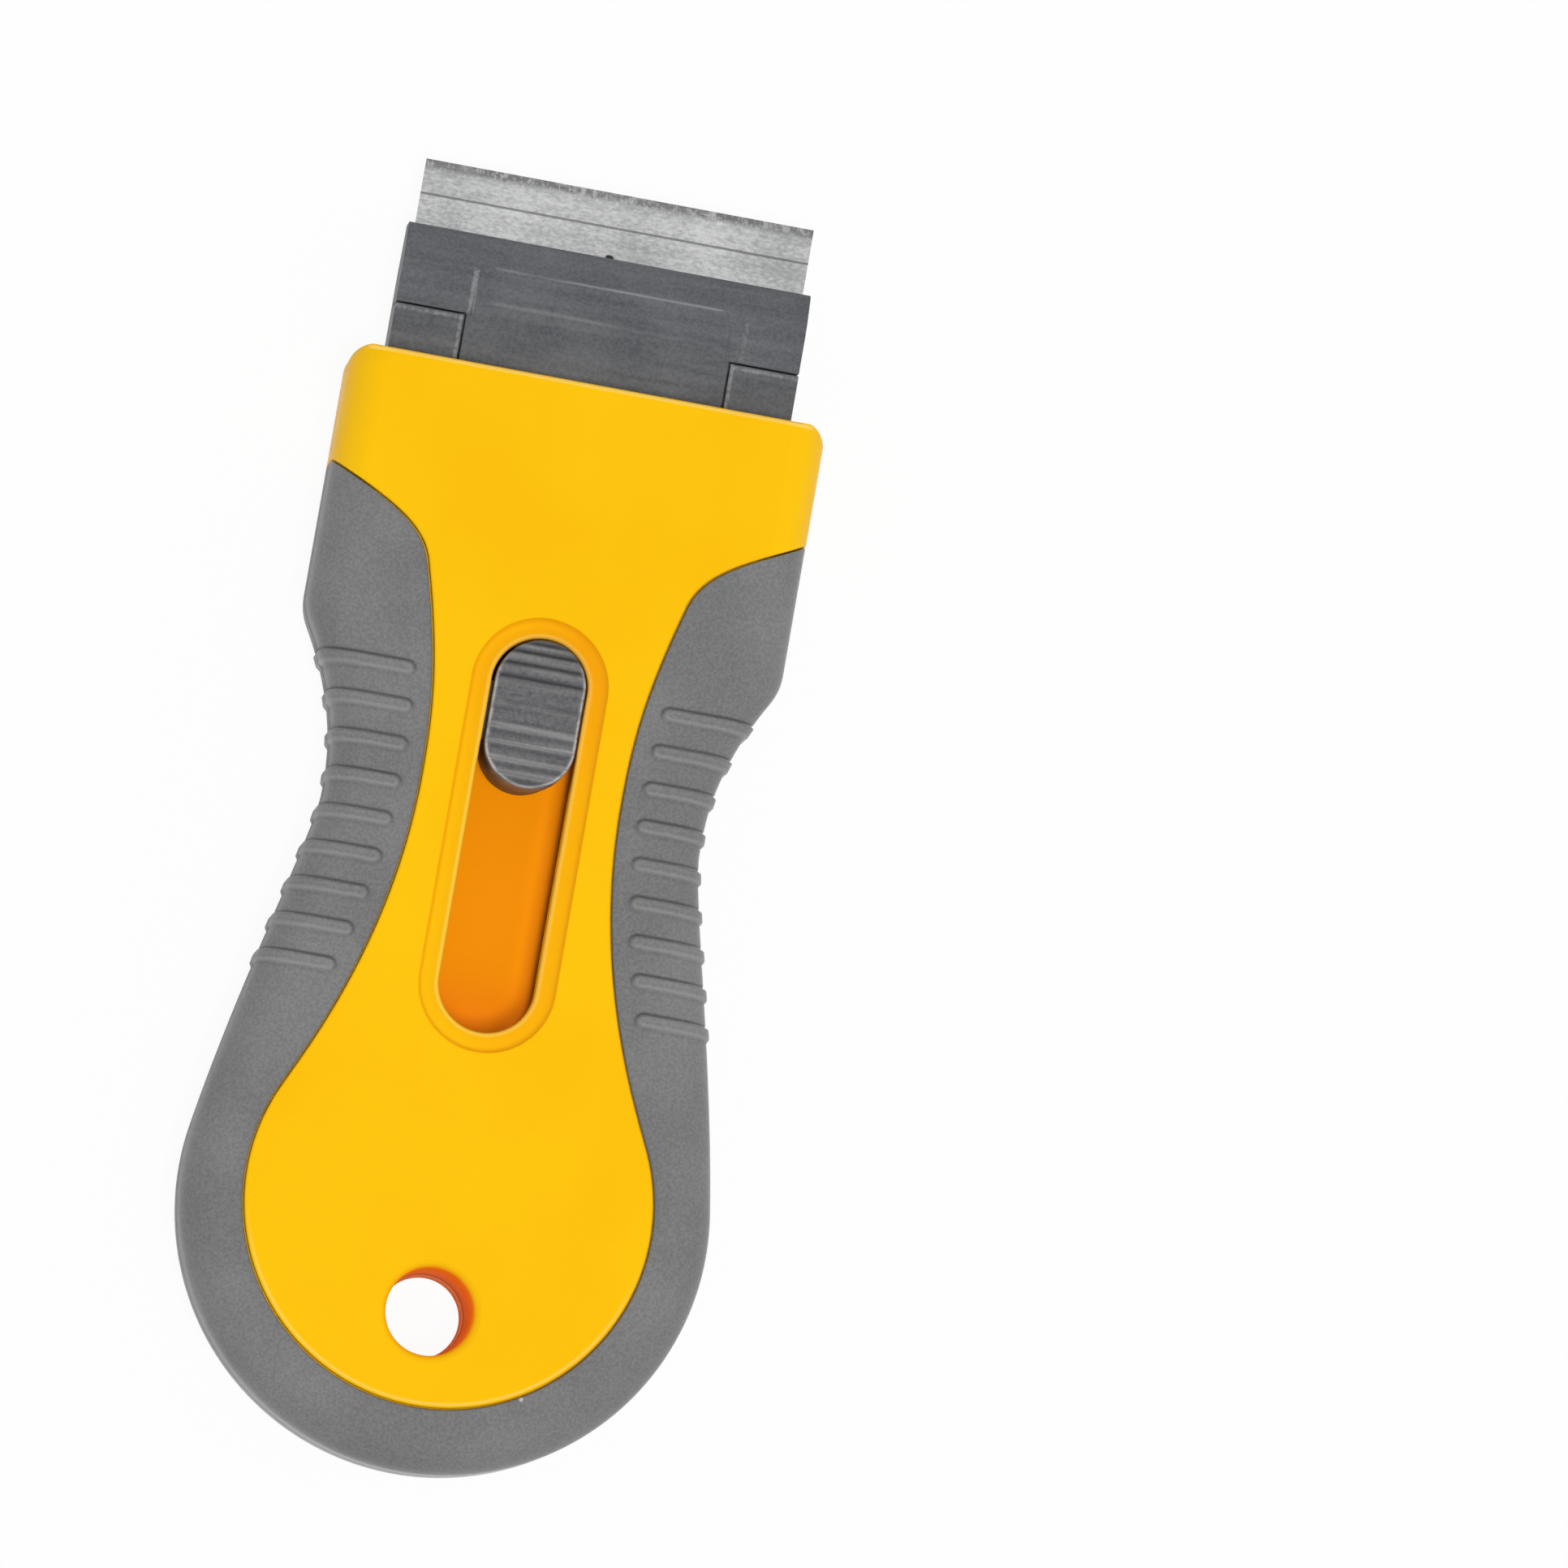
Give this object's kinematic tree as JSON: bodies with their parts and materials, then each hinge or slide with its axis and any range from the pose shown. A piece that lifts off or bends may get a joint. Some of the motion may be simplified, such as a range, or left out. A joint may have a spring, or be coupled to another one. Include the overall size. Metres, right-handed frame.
{
  "type": "razor blade scraper",
  "caption": "Handheld scraper with a round-butted two-shell handle, soft ribbed grips, a thumb slider and a retracting single-edge blade under a slide-off cover.",
  "frame": {"origin": "centre of the overall box on the surface that the scraper lies on, blade pushed out", "axes": "+Y along the handle towards the blade edge, +Z out of the thumb side, +X to the right"},
  "size_m": [0.052, 0.1282, 0.0167],
  "materials": {
    "yellow_plastic": "warm yellow moulded plastic, satin gloss",
    "soft_grip": "grey soft-touch overmould, fine matt grain",
    "slate_plastic": "slate grey moulded plastic, fine spark-eroded grain",
    "blade_steel": "bright carbon steel with a ground bevel",
    "spine_steel": "dull rolled steel",
    "plated_steel": "zinc-plated steel"
  },
  "bodies": {
    "handle": {"front_shell": "yellow_plastic", "rear_shell": "yellow_plastic", "front_grip": "soft_grip", "rear_grip": "soft_grip", "shell_screws": "plated_steel"},
    "carriage": {"blade_carriage": "slate_plastic", "lock_spring": "spine_steel", "razor_blade": "blade_steel", "blade_spine": "spine_steel"},
    "cover": {"blade_cover": "slate_plastic"},
    "button": {"thumb_button": "slate_plastic"}
  },
  "joints": [
    {"name": "carriage_slide", "type": "slide", "parent": "handle", "child": "carriage", "axis": [0, 1, 0], "range_m": [-0.0235, 0]},
    {"name": "cover_slide", "type": "slide", "parent": "carriage", "child": "cover", "axis": [0, 1, 0], "range_m": [0, 0.0065]},
    {"name": "button_press", "type": "slide", "parent": "carriage", "child": "button", "axis": [0, 0, -1], "range_m": [0, 0.0012], "stiffness_N_per_m": 1500, "deforming": ["lock_spring"]}
  ]
}
